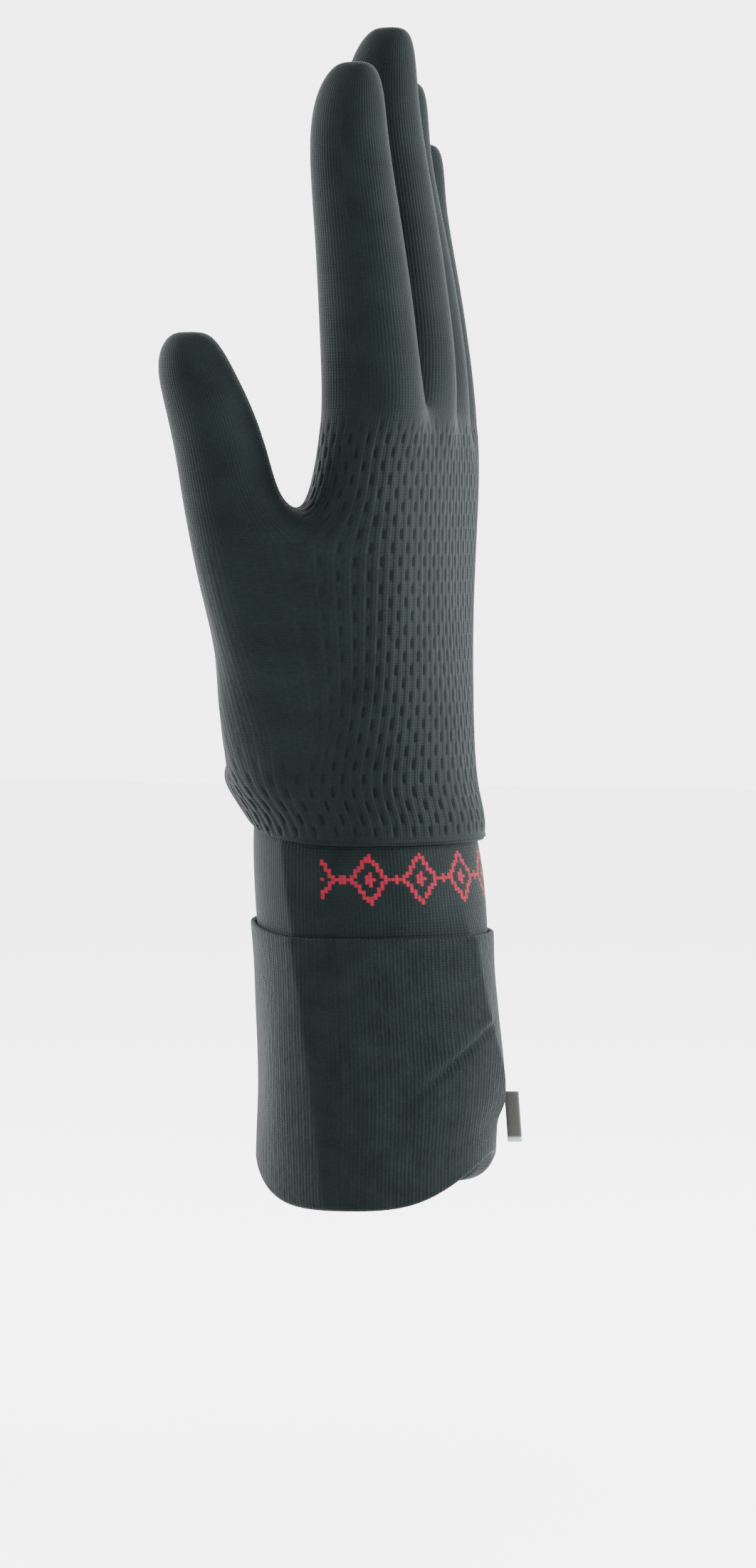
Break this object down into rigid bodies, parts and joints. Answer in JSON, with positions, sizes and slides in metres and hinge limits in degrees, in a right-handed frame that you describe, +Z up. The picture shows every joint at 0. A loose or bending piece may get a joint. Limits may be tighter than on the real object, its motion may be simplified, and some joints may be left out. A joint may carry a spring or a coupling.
{
  "type": "silk glove",
  "caption": "Knitted silk glove for the right hand in its worn form, with a mesh-knit palm and back, plain fingers and thumb, a wrist band, a doubled hem and a small tab.",
  "frame": {"origin": "middle of the cuff's mouth, at the height of its lowest edge", "axes": "+Z up along the fingers, +X towards the thumb side, +Y out of the back of the hand"},
  "size_m": [0.0919, 0.0661, 0.2542],
  "materials": {
    "knit": "charcoal knitted silk, plain on the fingers and tuck mesh on the hand",
    "band": "charcoal plain knit with a red knitted band motif",
    "hem": "charcoal doubled knit with fine ribs",
    "tape": "grey-brown woven tape with a pale edge"
  },
  "bodies": {
    "root": {"hand_shell": "knit", "index_tube": "knit", "middle_tube": "knit", "ring_tube": "knit", "little_tube": "knit", "thumb_tube": "knit", "wrist_band": "band", "cuff_hem": "hem", "label_tab": "tape"}
  },
  "joints": []
}
